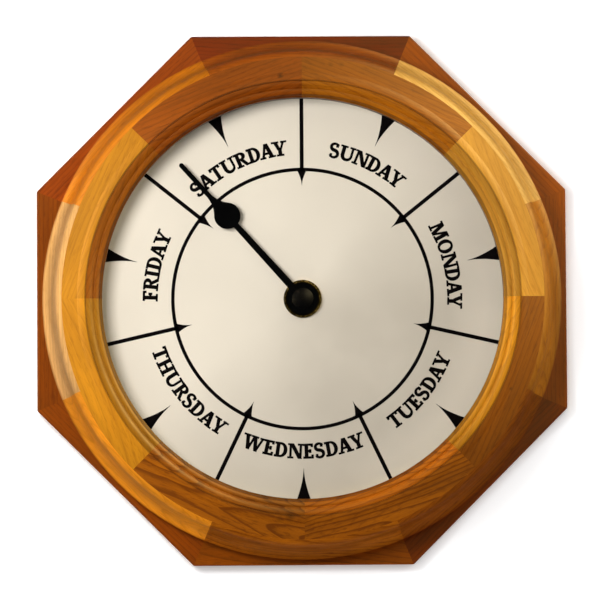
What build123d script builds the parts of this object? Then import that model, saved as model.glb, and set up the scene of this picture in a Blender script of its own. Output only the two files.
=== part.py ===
from build123d import *

import os
from math import atan2, cos, degrees, radians, sin, sqrt

# An octagonal wall clock whose one hand goes round once in seven days. Millimetres.
# Every piece is drawn with the clock lying on its back: X to the right, Y up the dial
# and Z out of the wall, with the hand's axis at X = Y = 0 and the wall at Z = 0.
# stand_up() turns the finished pieces upright, with the origin at the hanging point.

# Frame of eight back staves with a ring of eight front staves let into them, sized from the dial
dial_radius = 101.6
staves = 8
rabbet_clearance = 0.5
clip_land_width = 5.9
lip_overlap = 1.6
ledge_land_width = 3.0
corner_round = 1.4
edge_bevel = 0.7

# Turned moulding, from the opening outwards
lip_thickness = 4.8
lip_bevel = 0.9
bead_1_width = 3.2
bead_2_width = 4.0
bead_sagitta = 0.8
bead_climb = 1.8
quirk_height = 0.6
round_width = 4.2
round_drop = 1.0
band_width = 7.7
band_drop = 1.4
shoulder_width = 3.4
shoulder_drop = 3.3
flank_width = 2.1
flank_drop = 11.6
flare_width = 5.0
flare_drop = 6.0
ledge_step = 5.7

# Keyhole routed in the back of the top stave
hang_inset = 8.0
keyhole_radius = 4.75
keyhole_depth = 8.5
keyhole_lip = 3.0
slot_width = 4.8
slot_rise = 6.0
undercut_radius = 4.5

# Dial, lens and what holds them
dial_thickness = 1.5
lens_thickness = 2.0
lens_gap = 1.5
ring_wall = 1.3
ring_clearance = 0.2
clip_count = 4
clip_reach = 4.4
clip_width = 8.0
clip_thickness = 0.8
clip_corner = 1.5
clip_clearance = 0.3
screw_shank_radius = 1.3
screw_shank_length = 9.0
screw_head_radius = 2.6
screw_head_height = 1.5
screw_clearance = 0.3
screw_slot_width = 0.7
screw_slot_depth = 0.7

# Centre of the dial: bushing, washers, nut and hand
bushing_radius = 3.9
bushing_hole_clearance = 0.2
bushing_past_nut = 0.4
rubber_radius = 12.0
rubber_thickness = 0.7
brass_washer_radius = 9.525
brass_washer_thickness = 0.8
nut_width = 11.0
nut_thickness = 2.1
tube_radius = 2.5
tube_bore = 1.8
tube_past_hand = 0.3
running_clearance = 0.05
hand_gap = 0.4
hand_thickness = 0.5
hand_angle = 42.0
hand_hub_radius = 7.85
collet_wall = 1.2
collet_length = 0.2
hand_margin = 8.7
stem_half_width_hub = 1.9
stem_half_width_bulb = 1.5
bulb_from_tip = 35.3
bulb_radius = 6.6
neck_rise = 14.0
tip_half_width = 1.2
cap_radius = 5.3
cap_height = 2.3
cap_rim = 0.6

# Movement case
case_height = 56.0
case_corner = 4.0
case_wall = 1.2
case_wall_gap = 0.8
front_case_depth = 6.8
bay_width = 14.4
bay_lip_length = 20.0
bay_lip_width = 1.2
post_radius = 1.6
knob_radius = 6.5
knob_thickness = 2.2
knob_wall_gap = 1.0
knob_case_gap = 0.6
knob_notches = 12
knob_notch_width = 1.2
knob_notch_depth = 0.6

# Battery and contacts
battery_radius = 7.1
battery_length = 50.5
battery_nub_length = 1.0
battery_nub_radius = 2.75
battery_edge = 0.6
battery_rest_gap = 0.1
battery_wall_gap = 1.3
contact_thickness = 0.4
contact_width = 8.6
contact_height = 10.0
contact_spring_depth = 2.7

# Circuit board and its two components
board_length = 12.2
board_width = 14.2
board_thickness = 0.8
board_case_gap = 0.2
crystal_radius = 1.0
crystal_length = 6.0
crystal_inset = 3.5
chip_side = 5.0
chip_thickness = 1.0
chip_inset = 4.5

# Stepping motor
stator_thickness = 1.0
stator_width = 7.3
stator_length = 22.0
stator_arm = 4.0
stator_hole_radius = 3.2
stator_right_gap = 3.64
stator_offset = 2.0
stator_rise = 3.9
core_distance = 9.76
core_width = 4.0
bobbin_length = 12.6
bobbin_barrel_radius = 2.4
bobbin_flange_radius = 3.5
bobbin_flange_thickness = 0.8
winding_radius = 3.2
pin_radius = 0.7
pin_clearance = 0.05
pin_past_core = 0.4
magnet_radius = 2.6
magnet_height = 2.4
magnet_bore = 0.9

# Train: teeth and module of each mesh, from the rotor to the day wheel
rotor_leaves = 6
intermediate_teeth = 36
rotor_module = 0.27
intermediate_leaves = 6
seconds_teeth = 30
intermediate_module = 0.33
seconds_leaves = 6
third_teeth = 45
seconds_module = 0.27
third_leaves = 6
minute_teeth = 48
third_module = 0.29
minute_leaves = 6
six_hour_teeth = 36
minute_module = 0.40
six_hour_leaves = 8
clutch_teeth = 32
six_hour_module = 0.43
setting_leaves = 6
day_teeth = 42
day_module = 0.50

# Train: tooth form as shares of the module or of the tooth pitch
addendum = 0.75
dedendum = 1.05
tip_share = 0.12
root_share = 0.29

# Train: the line of centres from each arbor to the next, from the day wheel's on
setting_direction = 45.0
six_hour_direction = 15.0
minute_direction = 105.0
third_direction = 178.0
seconds_direction = 185.0
intermediate_direction = 195.0
rotor_direction = 200.0

# Train: the level that each mesh runs on, named by the pinion that drives it
rotor_mesh = 3
intermediate_mesh = 1
seconds_mesh = 0
third_mesh = 1
minute_mesh = 2
six_hour_mesh = 3
setting_mesh = 4

# Train: heights and arbors
lowest_level_rise = 2.0
highest_level_drop = 2.2
wheel_thickness = 0.8
pinion_length = 1.3
arbor_radius = 0.45
arbor_shake = 0.1
bearing_depth = 0.9
setting_arbor_radius = 0.8
collar_radius = 1.6
collar_thickness = 0.6
clutch_gap = 0.1
clutch_spring_radius = 2.4
clutch_spring_thickness = 0.15
day_hub_radius = 3.4
day_hub_gap = 0.2
day_stub_radius = 0.9
day_stub_length = 3.0
centre_post_gap = 0.3

# Heights of the movement, all measured from the wall
battery_level = battery_wall_gap + battery_radius
inner_front = battery_level + battery_radius + battery_rest_gap
case_front = inner_front + case_wall
case_back = case_wall_gap
case_split = case_front - front_case_depth
knob_front = knob_wall_gap + knob_thickness
train_back = knob_front + knob_case_gap
inner_back = train_back + case_wall
arbor_front = inner_front + bearing_depth - arbor_shake
arbor_back = inner_back - bearing_depth + arbor_shake
stator_level = inner_back + stator_rise
lowest_level = inner_back + lowest_level_rise
level_pitch = (inner_front - highest_level_drop - lowest_level) / setting_mesh

# Heights of the dial, the hand and the lens
dial_back = case_front + rubber_thickness
dial_front = dial_back + dial_thickness
washer_front = dial_front + brass_washer_thickness
nut_front = washer_front + nut_thickness
bushing_end = nut_front + bushing_past_nut
hand_back = bushing_end + hand_gap
hand_front = hand_back + hand_thickness
tube_end = hand_front + tube_past_hand
cap_front = hand_front + cap_height
lens_back = cap_front + lens_gap
lens_seat = lens_back + lens_thickness

# Heights of the frame, whose front staves stand in a seat as deep as the dial's back
seat_floor = dial_back
lip_height = lens_seat + lip_thickness
frame_depth = lip_height + 2 * bead_climb + quirk_height
band_start_height = frame_depth - round_drop
seam_height = band_start_height - band_drop
flank_height = seam_height - shoulder_drop
flare_height = flank_height - flank_drop
flare_foot_height = flare_height - flare_drop
ledge_height = flare_foot_height - ledge_step

# Radii of the frame
rabbet_radius = dial_radius + rabbet_clearance
back_opening = rabbet_radius + clip_land_width
screw_radius = (rabbet_radius + back_opening) / 2
opening_radius = dial_radius - lip_overlap
crown_start = opening_radius + lip_bevel + bead_1_width + bead_2_width
band_start = crown_start + round_width
seam_radius = band_start + band_width
flank_start = seam_radius + shoulder_width
flare_start = flank_start + flank_width
flare_end = flare_start + flare_width
frame_width = 2 * (flare_end + ledge_land_width)
hang_height = back_opening + hang_inset

# Lengths of the hand and the clips
hand_length = opening_radius - hand_margin
bulb_distance = hand_length - bulb_from_tip
clip_end = back_opening - clip_clearance
clip_length = clip_end - dial_radius + clip_reach

# Widths that follow inside the case
inner_width = battery_length + contact_thickness + contact_spring_depth
inner_right = inner_width / 2
case_width = inner_width + 2 * case_wall
bay_low = case_wall - case_height / 2
bay_high = bay_low + bay_width
train_low = bay_high + case_wall
battery_y = (bay_low + bay_high) / 2
dial_hole = bushing_radius + bushing_hole_clearance

top_direction = 90.0
stave_angle = 360.0 / staves


# Small helpers


def disc(radius, low, high, at=(0, 0)):
    """A cylinder from one height to another."""
    return Pos(at[0], at[1], low) * extrude(Circle(radius), high - low)


def ring(outer, inner, low, high, at=(0, 0)):
    return Pos(at[0], at[1], low) * extrude(Circle(outer) - Circle(inner), high - low)


def block(x_low, x_high, y_low, y_high, z_low, z_high):
    middle = Pos((x_low + x_high) / 2, (y_low + y_high) / 2, (z_low + z_high) / 2)
    return middle * Box(x_high - x_low, y_high - y_low, z_high - z_low)


def turned(edges, arc=360.0):
    """Revolves a profile of (radius, height) points about the hand's axis."""
    return revolve(Rot(90, 0, 0) * make_face(edges), Axis.Z, revolution_arc=arc)


def polar(radius, angle):
    return radius * cos(radians(angle)), radius * sin(radians(angle))


def stand_up(part):
    return Pos(0, 0, -hang_height) * Rot(90, 0, 0) * part


# Frame


def front_profile():
    """Section of a front stave, as edges on (radius, height) points."""
    rabbet_low = (rabbet_radius, seat_floor)
    rabbet_high = (rabbet_radius, lens_seat)
    seat = (opening_radius, lens_seat)
    lip_low = (opening_radius, lip_height - lip_bevel)
    lip_top = (opening_radius + lip_bevel, lip_height)
    between_beads = (lip_top[0] + bead_1_width, lip_height + bead_climb)
    quirk = (crown_start, frame_depth - quirk_height)
    crown = (crown_start, frame_depth)
    band = (band_start, band_start_height)
    seam_high = (seam_radius, seam_height)
    seam_low = (seam_radius, seat_floor)
    return [
        Line(rabbet_low, rabbet_high),
        Line(rabbet_high, seat),
        Line(seat, lip_low),
        Line(lip_low, lip_top),
        SagittaArc(lip_top, between_beads, bead_sagitta),
        SagittaArc(between_beads, quirk, bead_sagitta),
        Line(quirk, crown),
        TangentArc(crown, band, tangent=(1, 0)),
        Line(band, seam_high),
        Line(seam_high, seam_low),
        Line(seam_low, rabbet_low),
    ]


def turned_away():
    """What the lathe takes off the back staves outside the seam: shoulder, flank, flare and ledge."""
    seam = (seam_radius, seam_height)
    flank_top = (flank_start, flank_height)
    flank_foot = (flare_start, flare_height)
    flare_foot = (flare_end, flare_foot_height)
    step = (flare_end, ledge_height)
    ledge_end = (frame_width, ledge_height)
    above = (frame_width, frame_depth)
    over_seam = (seam_radius, frame_depth)
    return turned(
        [
            TangentArc(seam, flank_top, tangent=(band_width, -band_drop)),
            Line(flank_top, flank_foot),
            TangentArc(flank_foot, flare_foot, tangent=(flank_width, -flank_drop)),
            Line(flare_foot, step),
            Line(step, ledge_end),
            Line(ledge_end, above),
            Line(above, over_seam),
            Line(over_seam, seam),
        ]
    )


def back_ring():
    """The back staves as one octagon, before it is cut at its corners."""
    outline = RegularPolygon(frame_width / 2, staves, major_radius=False, rotation=stave_angle / 2)
    outline = fillet(outline.vertices(), corner_round)
    blank = extrude(outline, seam_height) - disc(back_opening, 0, seat_floor)
    blank -= disc(seam_radius, seat_floor, seam_height)
    blank -= turned_away()
    on_ledge = [e for e in blank.edges() if abs(e.center().Z - ledge_height) < edge_bevel / 2]
    rim = [e for e in on_ledge if e.geom_type != GeomType.CIRCLE or e.radius < back_opening]
    return chamfer(rim, edge_bevel)


def wedge(middle_angle):
    """A sector one stave wide, as tall as the back staves."""
    left = polar(frame_width, middle_angle + stave_angle / 2)
    right = polar(frame_width, middle_angle - stave_angle / 2)
    return extrude(make_face(Polyline((0, 0), right, left, close=True)), seam_height)


def keyhole():
    """Round entry, slot and undercut that a nail's head passes into."""
    entry = disc(keyhole_radius, 0, keyhole_depth, (0, hang_height))
    top = hang_height + slot_rise
    slot = disc(slot_width / 2, 0, keyhole_lip, (0, top))
    slot += block(-slot_width / 2, slot_width / 2, hang_height, top, 0, keyhole_lip)
    under = disc(undercut_radius, keyhole_lip, keyhole_depth, (0, top))
    under += block(-undercut_radius, undercut_radius, hang_height, top, keyhole_lip, keyhole_depth)
    return entry + slot + under


def back_stave(ring_blank, number):
    stave = ring_blank & wedge(top_direction - stave_angle * (number - 1))
    return stave - keyhole() if number == 1 else stave


def screw_places():
    """Angle of each dial clip: the middle of every second front stave."""
    return [top_direction - stave_angle / 2 - n * 360 / clip_count for n in range(clip_count)]


def front_stave(number):
    stave = Rot(0, 0, top_direction - stave_angle * number) * turned(front_profile(), stave_angle)
    for angle in screw_places():
        if abs(angle - (top_direction - stave_angle * (number - 0.5))) < stave_angle / 2:
            depth = screw_shank_length - clip_thickness
            pilot = disc(screw_shank_radius, seat_floor, seat_floor + depth, polar(screw_radius, angle))
            stave -= pilot
    return stave


# Dial, lens, clips


def dial():
    return ring(dial_radius, dial_hole, dial_back, dial_front)


def lens():
    return disc(dial_radius, lens_back, lens_seat)


def lens_ring():
    outer = rabbet_radius - ring_clearance
    return ring(outer, outer - ring_wall, dial_front, lens_back)


def clip(angle):
    plate = Rectangle(clip_length, clip_width)
    plate = Pos(clip_end - clip_length / 2, 0) * chamfer(plate.vertices(), clip_corner)
    plate -= Pos(screw_radius, 0) * Circle(screw_shank_radius + screw_clearance)
    solid = Pos(0, 0, dial_back - clip_thickness) * extrude(plate, clip_thickness)
    return Rot(0, 0, angle) * solid


def clip_screw(angle):
    head_top = dial_back - clip_thickness
    head = disc(screw_head_radius, head_top - screw_head_height, head_top)
    low = head_top - screw_head_height
    half = screw_slot_width / 2
    slot = block(-screw_head_radius, screw_head_radius, -half, half, low, low + screw_slot_depth)
    screw = head - slot + disc(screw_shank_radius, head_top, head_top + screw_shank_length)
    return Rot(0, 0, angle) * Pos(screw_radius, 0, 0) * screw


def dial_clips():
    return Compound(children=[clip(angle) for angle in screw_places()])


def clip_screws():
    return Compound(children=[clip_screw(angle) for angle in screw_places()])


# Centre of the dial


def rubber_washer():
    return ring(rubber_radius, dial_hole, case_front, dial_back)


def dial_washer():
    return ring(brass_washer_radius, dial_hole, dial_front, washer_front)


def dial_nut():
    hexagon = RegularPolygon(nut_width / 2, 6, major_radius=False)
    return Pos(0, 0, washer_front) * extrude(hexagon - Circle(bushing_radius), nut_thickness)


def threaded_bushing():
    return ring(bushing_radius, tube_radius + running_clearance, inner_front, bushing_end)


def hand_outline():
    """Right half of the hand from its hub to its tip, pointing up, as edges."""
    neck = (neck_rise**2 + tip_half_width**2 - bulb_radius**2) / (2 * (bulb_radius - tip_half_width))
    reach = bulb_radius / (bulb_radius + neck)
    bulb_foot = (stem_half_width_bulb, bulb_distance - sqrt(bulb_radius**2 - stem_half_width_bulb**2))
    bulb_side = (bulb_radius, bulb_distance)
    bulb_end = ((tip_half_width + neck) * reach, bulb_distance + neck_rise * reach)
    neck_end = (tip_half_width, bulb_distance + neck_rise)
    tip_side = (tip_half_width, hand_length - tip_half_width)
    return [
        Line((0, 0), (stem_half_width_hub, 0)),
        Line((stem_half_width_hub, 0), bulb_foot),
        ThreePointArc(bulb_foot, bulb_side, bulb_end),
        TangentArc(neck_end, bulb_end, tangent=(0, -1)),
        Line(neck_end, tip_side),
        TangentArc(tip_side, (0, hand_length), tangent=(0, 1)),
        Line((0, hand_length), (0, 0)),
    ]


def hand():
    half = make_face(hand_outline())
    blade = half + mirror(half, Plane.YZ) + Circle(hand_hub_radius) - Circle(tube_radius)
    plate = Pos(0, 0, hand_back) * extrude(blade, hand_thickness)
    collet = ring(tube_radius + collet_wall, tube_radius, hand_back - collet_length, hand_back)
    return Rot(0, 0, hand_angle) * (plate + collet)


def hand_cap():
    """Low dome that closes the tube's end."""
    dome = turned(
        [
            Line((0, hand_front), (cap_radius, hand_front)),
            Line((cap_radius, hand_front), (cap_radius, hand_front + cap_rim)),
            TangentArc((0, cap_front), (cap_radius, hand_front + cap_rim), tangent=(1, 0)),
            Line((0, cap_front), (0, hand_front)),
        ]
    )
    return dome - disc(tube_radius, hand_front, tube_end)


# Toothed wheels


def level(number):
    return lowest_level + number * level_pitch


def toothed(teeth, module, thickness, phase):
    """A wheel of straight-flanked teeth, centred at the origin, with a tooth at phase degrees."""
    pitch = 360 / teeth
    tip = module * (teeth / 2 + addendum)
    root = module * (teeth / 2 - dedendum)
    points = []
    for n in range(teeth):
        middle = phase + n * pitch
        points.append(polar(root, middle - root_share * pitch))
        points.append(polar(tip, middle - tip_share * pitch))
        points.append(polar(tip, middle + tip_share * pitch))
        points.append(polar(root, middle + root_share * pitch))
    face = make_face(Polyline(*points, close=True))
    return Pos(0, 0, -thickness / 2) * extrude(face, thickness)


def beyond(axis, wheel_teeth, leaves, module, direction):
    """The axis that lies one mesh away from another in a direction."""
    step = polar(module * (wheel_teeth + leaves) / 2, direction)
    return axis[0] + step[0], axis[1] + step[1]


def meshed_phase(pinion_axis, leaves, pinion_phase, wheel_axis, teeth):
    """The wheel's phase that puts a gap of it on the pinion's leaf along the line of centres."""
    line = degrees(atan2(wheel_axis[1] - pinion_axis[1], wheel_axis[0] - pinion_axis[0]))
    leaf_share = (line - pinion_phase) * leaves / 360
    return line + 180 - (0.5 - leaf_share) * 360 / teeth


day_axis = (0.0, 0.0)
setting_axis = beyond(day_axis, day_teeth, setting_leaves, day_module, setting_direction)
six_hour_axis = beyond(setting_axis, clutch_teeth, six_hour_leaves, six_hour_module, six_hour_direction)
minute_axis = beyond(six_hour_axis, six_hour_teeth, minute_leaves, minute_module, minute_direction)
third_axis = beyond(minute_axis, minute_teeth, third_leaves, third_module, third_direction)
seconds_axis = beyond(third_axis, third_teeth, seconds_leaves, seconds_module, seconds_direction)
intermediate_axis = beyond(
    seconds_axis, seconds_teeth, intermediate_leaves, intermediate_module, intermediate_direction
)
rotor_axis = beyond(intermediate_axis, intermediate_teeth, rotor_leaves, rotor_module, rotor_direction)
plain_axes = [six_hour_axis, minute_axis, third_axis, seconds_axis, intermediate_axis, rotor_axis]

rotor_phase = 0.0
intermediate_phase = meshed_phase(
    rotor_axis, rotor_leaves, rotor_phase, intermediate_axis, intermediate_teeth
)
seconds_phase = meshed_phase(
    intermediate_axis, intermediate_leaves, intermediate_phase, seconds_axis, seconds_teeth
)
third_phase = meshed_phase(seconds_axis, seconds_leaves, seconds_phase, third_axis, third_teeth)
minute_phase = meshed_phase(third_axis, third_leaves, third_phase, minute_axis, minute_teeth)
six_hour_phase = meshed_phase(minute_axis, minute_leaves, minute_phase, six_hour_axis, six_hour_teeth)
clutch_phase = meshed_phase(six_hour_axis, six_hour_leaves, six_hour_phase, setting_axis, clutch_teeth)
setting_phase = 0.0
day_phase = meshed_phase(setting_axis, setting_leaves, setting_phase, day_axis, day_teeth)


def plain_arbor():
    """Rod whose ends run in blind holes of the two cases."""
    return disc(arbor_radius, arbor_back, arbor_front)


def train_member(axis, phase, teeth, wheel_module, wheel_level, leaves, pinion_module, pinion_level):
    """A wheel and its pinion on one arbor."""
    wheel = Pos(0, 0, level(wheel_level)) * toothed(teeth, wheel_module, wheel_thickness, phase)
    pinion = Pos(0, 0, level(pinion_level)) * toothed(leaves, pinion_module, pinion_length, phase)
    return Pos(axis[0], axis[1], 0) * (plain_arbor() + wheel + pinion)


def intermediate_wheel():
    return train_member(
        intermediate_axis,
        intermediate_phase,
        intermediate_teeth,
        rotor_module,
        rotor_mesh,
        intermediate_leaves,
        intermediate_module,
        intermediate_mesh,
    )


def seconds_wheel():
    return train_member(
        seconds_axis,
        seconds_phase,
        seconds_teeth,
        intermediate_module,
        intermediate_mesh,
        seconds_leaves,
        seconds_module,
        seconds_mesh,
    )


def third_wheel():
    return train_member(
        third_axis,
        third_phase,
        third_teeth,
        seconds_module,
        seconds_mesh,
        third_leaves,
        third_module,
        third_mesh,
    )


def minute_wheel():
    return train_member(
        minute_axis,
        minute_phase,
        minute_teeth,
        third_module,
        third_mesh,
        minute_leaves,
        minute_module,
        minute_mesh,
    )


def six_hour_wheel():
    return train_member(
        six_hour_axis,
        six_hour_phase,
        six_hour_teeth,
        minute_module,
        minute_mesh,
        six_hour_leaves,
        six_hour_module,
        six_hour_mesh,
    )


def rotor():
    pinion = toothed(rotor_leaves, rotor_module, pinion_length, rotor_phase)
    hub = disc(magnet_bore, stator_level - magnet_height / 2, stator_level + magnet_height / 2)
    turning = plain_arbor() + Pos(0, 0, level(rotor_mesh)) * pinion + hub
    return Pos(rotor_axis[0], rotor_axis[1], 0) * turning


def rotor_magnet():
    half = magnet_height / 2
    return ring(magnet_radius, magnet_bore, stator_level - half, stator_level + half, rotor_axis)


def clutch_wheel():
    """Wheel that turns once a day and drives the setting arbor by friction."""
    wheel = toothed(clutch_teeth, six_hour_module, wheel_thickness, clutch_phase)
    bore = disc(setting_arbor_radius + running_clearance, -wheel_thickness, wheel_thickness)
    return Pos(setting_axis[0], setting_axis[1], level(six_hour_mesh)) * (wheel - bore)


def clutch_spring():
    """Cone washer between the clutch wheel and the setting pinion."""
    low = level(six_hour_mesh) + wheel_thickness / 2 + clutch_gap
    high = level(setting_mesh) - pinion_length / 2
    section = [
        (setting_arbor_radius, high),
        (clutch_spring_radius, low + clutch_spring_thickness),
        (clutch_spring_radius, low),
        (setting_arbor_radius, high - clutch_spring_thickness),
    ]
    cone = turned([Polyline(*section, close=True)])
    return Pos(setting_axis[0], setting_axis[1], 0) * cone


def setting_arbor():
    """Arbor of the setting knob, with the pinion that turns the day wheel."""
    collar_top = level(six_hour_mesh) - wheel_thickness / 2 - clutch_gap
    arbor = disc(setting_arbor_radius, knob_wall_gap, arbor_front)
    arbor += disc(collar_radius, collar_top - collar_thickness, collar_top)
    pinion = toothed(setting_leaves, day_module, pinion_length, setting_phase)
    return Pos(setting_axis[0], setting_axis[1], 0) * (arbor + Pos(0, 0, level(setting_mesh)) * pinion)


def setting_knob():
    face = Circle(knob_radius) - Circle(setting_arbor_radius)
    notch = Pos(knob_radius, 0) * Rectangle(2 * knob_notch_depth, knob_notch_width)
    for n in range(knob_notches):
        face -= Rot(0, 0, n * 360 / knob_notches) * notch
    knob = Pos(0, 0, knob_wall_gap) * extrude(face, knob_thickness)
    return Pos(setting_axis[0], setting_axis[1], 0) * knob


def day_wheel():
    """Wheel that turns once a week, with the tube that carries the hand."""
    low = level(setting_mesh) - wheel_thickness / 2
    wheel = Pos(0, 0, level(setting_mesh)) * toothed(day_teeth, day_module, wheel_thickness, day_phase)
    hub = disc(day_hub_radius, low, inner_front - day_hub_gap)
    tube = disc(tube_radius, low, tube_end)
    stub = disc(day_stub_radius, low - day_stub_length, low)
    return wheel + hub + tube + stub - disc(tube_bore, low + wheel_thickness, tube_end)


# Movement case


def case_block(inset, low, high):
    outline = RectangleRounded(case_width - 2 * inset, case_height - 2 * inset, case_corner - inset)
    return Pos(0, 0, low) * extrude(outline, high - low)


def front_case():
    shell = case_block(0, case_split, case_front) - case_block(case_wall, case_split, inner_front)
    shell += block(-inner_right, inner_right, bay_high, train_low, case_split, inner_front)
    for axis in plain_axes:
        shell -= disc(arbor_radius + running_clearance, inner_front, inner_front + bearing_depth, axis)
    bearing = setting_arbor_radius + running_clearance
    shell -= disc(bearing, inner_front, inner_front + bearing_depth, setting_axis)
    return shell - disc(bushing_radius, inner_front, case_front)


def battery_bay():
    """Room for the battery, open at the back of the case."""
    return block(-inner_right, inner_right, bay_low, bay_high, case_back, case_split)


def bay_lips():
    half = bay_lip_length / 2
    top = case_back + case_wall
    low = block(-half, half, bay_low, bay_low + bay_lip_width, case_back, top)
    return low + block(-half, half, bay_high - bay_lip_width, bay_high, case_back, top)


def motor_pins():
    """Two posts of the rear case that carry the stator and the core, with a pin on each."""
    core_x, low, high = motor_places()
    plate_low = stator_level - stator_thickness / 2
    posts = [(core_x, low + stator_arm / 2), (core_x, high - stator_arm / 2)]
    pin_top = plate_low + 2 * stator_thickness + pin_past_core
    carrier = Part()
    for post in posts:
        carrier += disc(post_radius, inner_back, plate_low, post)
        carrier += disc(pin_radius, plate_low, pin_top, post)
    return carrier


def rear_case():
    shell = case_block(0, case_back, case_split)
    shell -= block(-case_width, case_width, train_low, case_height, case_back, train_back)
    train_room = case_block(case_wall, inner_back, case_split)
    shell -= train_room - block(-case_width, case_width, -case_height, train_low, case_back, case_split)
    shell = shell - battery_bay() + bay_lips() + motor_pins()
    for axis in plain_axes:
        shell -= disc(arbor_radius + running_clearance, inner_back - bearing_depth, inner_back, axis)
    shell -= disc(setting_arbor_radius + running_clearance, train_back, inner_back, setting_axis)
    post_top = level(setting_mesh) - wheel_thickness / 2 - centre_post_gap
    shell += disc(post_radius, inner_back, post_top)
    return shell - disc(day_stub_radius + running_clearance, inner_back, post_top)


# Battery, contacts and board


def battery():
    """Cell with its raised end to the right."""
    tip = inner_right - contact_thickness
    body_end = tip - battery_nub_length
    body_start = tip - battery_length
    body = extrude(Circle(battery_radius), body_end - body_start)
    body = chamfer(body.edges(), battery_edge)
    nub = Pos(0, 0, body_end - body_start) * extrude(Circle(battery_nub_radius), battery_nub_length)
    return Pos(body_start, battery_y, battery_level) * Rot(0, 90, 0) * (body + nub)


def positive_contact():
    half_width = contact_width / 2
    half_height = contact_height / 2
    return block(
        inner_right - contact_thickness,
        inner_right,
        battery_y - half_width,
        battery_y + half_width,
        battery_level - half_height,
        battery_level + half_height,
    )


def negative_contact():
    """Strip folded to a V that presses on the battery's flat end."""
    back = -inner_right
    touch = inner_right - contact_thickness - battery_length
    low = battery_level - contact_height / 2
    high = battery_level + contact_height / 2
    t = contact_thickness
    section = [
        (back, low),
        (touch, (low + high) / 2 - t),
        (touch, (low + high) / 2 + t),
        (back + t, high),
        (back, high),
        (back, high - t),
        (touch - t, (low + high) / 2),
        (back, low + 2 * t),
    ]
    strip = extrude(make_face(Polyline(*section, close=True)), contact_width / 2, both=True)
    return Pos(0, battery_y, 0) * Rot(90, 0, 0) * strip


def board_box():
    left = board_case_gap - inner_right
    low = train_low + board_case_gap
    return left, left + board_width, low, low + board_length


def circuit_board():
    left, right, low, high = board_box()
    return block(left, right, low, high, inner_front - board_thickness, inner_front)


def quartz_crystal():
    left, right, low, high = board_box()
    centre = (left + crystal_inset, (low + high) / 2, inner_front - board_thickness - crystal_radius)
    return Pos(*centre) * Rot(90, 0, 0) * Cylinder(crystal_radius, crystal_length)


def clock_chip():
    left, right, low, high = board_box()
    x = right - chip_inset
    y = (low + high) / 2
    top = inner_front - board_thickness
    half = chip_side / 2
    return block(x - half, x + half, y - half, y + half, top - chip_thickness, top)


# Stepping motor


def motor_places():
    """X of the coil's core, and the lowest and highest Y of the stator."""
    low = rotor_axis[1] - stator_length / 2 - stator_offset
    return rotor_axis[0] - core_distance, low, low + stator_length


def stator():
    core_x, low, high = motor_places()
    right = rotor_axis[0] + stator_right_gap
    bottom = stator_level - stator_thickness / 2
    top = stator_level + stator_thickness / 2
    left = core_x - core_width / 2
    plate = block(right - stator_width, right, low, high, bottom, top)
    plate += block(left, right, low, low + stator_arm, bottom, top)
    plate += block(left, right, high - stator_arm, high, bottom, top)
    for y in (low + stator_arm / 2, high - stator_arm / 2):
        plate -= disc(pin_radius + pin_clearance, bottom, top, (core_x, y))
    return plate - disc(stator_hole_radius, bottom, top, rotor_axis)


def coil_core():
    core_x, low, high = motor_places()
    bottom = stator_level + stator_thickness / 2
    top = bottom + stator_thickness
    half = core_width / 2
    core = block(core_x - half, core_x + half, low, high, bottom, top)
    for y in (low + stator_arm / 2, high - stator_arm / 2):
        core -= disc(pin_radius + pin_clearance, bottom, top, (core_x, y))
    return core


def along_coil(radius, length, offset):
    """A cylinder on the coil's axis, centred at an offset from its middle."""
    core_x, low, high = motor_places()
    centre = Pos(core_x, (low + high) / 2 + offset, stator_level + stator_thickness)
    return centre * Rot(90, 0, 0) * Cylinder(radius, length)


def coil_bobbin():
    end = (bobbin_length - bobbin_flange_thickness) / 2
    bobbin = along_coil(bobbin_barrel_radius, bobbin_length, 0)
    bobbin += along_coil(bobbin_flange_radius, bobbin_flange_thickness, end)
    bobbin += along_coil(bobbin_flange_radius, bobbin_flange_thickness, -end)
    core_x, low, high = motor_places()
    half = core_width / 2
    bottom = stator_level + stator_thickness / 2
    return bobbin - block(core_x - half, core_x + half, low, high, bottom, bottom + stator_thickness)


def coil_winding():
    length = bobbin_length - 2 * bobbin_flange_thickness
    return along_coil(winding_radius, length, 0) - along_coil(bobbin_barrel_radius, length, 0)


# Every piece by its name


def pieces():
    found = {}
    blank = back_ring()
    for number in range(1, staves + 1):
        found[f"back_stave_{number}"] = back_stave(blank, number)
        found[f"front_stave_{number}"] = front_stave(number)
    makers = [
        dial,
        lens,
        lens_ring,
        dial_clips,
        clip_screws,
        rubber_washer,
        dial_washer,
        dial_nut,
        threaded_bushing,
        hand,
        hand_cap,
        front_case,
        rear_case,
        battery,
        positive_contact,
        negative_contact,
        circuit_board,
        quartz_crystal,
        clock_chip,
        stator,
        coil_core,
        coil_bobbin,
        coil_winding,
        rotor,
        rotor_magnet,
        intermediate_wheel,
        seconds_wheel,
        third_wheel,
        minute_wheel,
        six_hour_wheel,
        clutch_wheel,
        clutch_spring,
        setting_arbor,
        setting_knob,
        day_wheel,
    ]
    for maker in makers:
        found[maker.__name__] = maker()
    return found


os.makedirs("parts", exist_ok=True)
for name, part in pieces().items():
    export_step(stand_up(part), f"parts/{name}.step")
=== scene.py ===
from math import cos, pi, radians, sin

import bmesh
import bpy
from mathutils import Euler, Matrix, Vector, geometry


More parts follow.
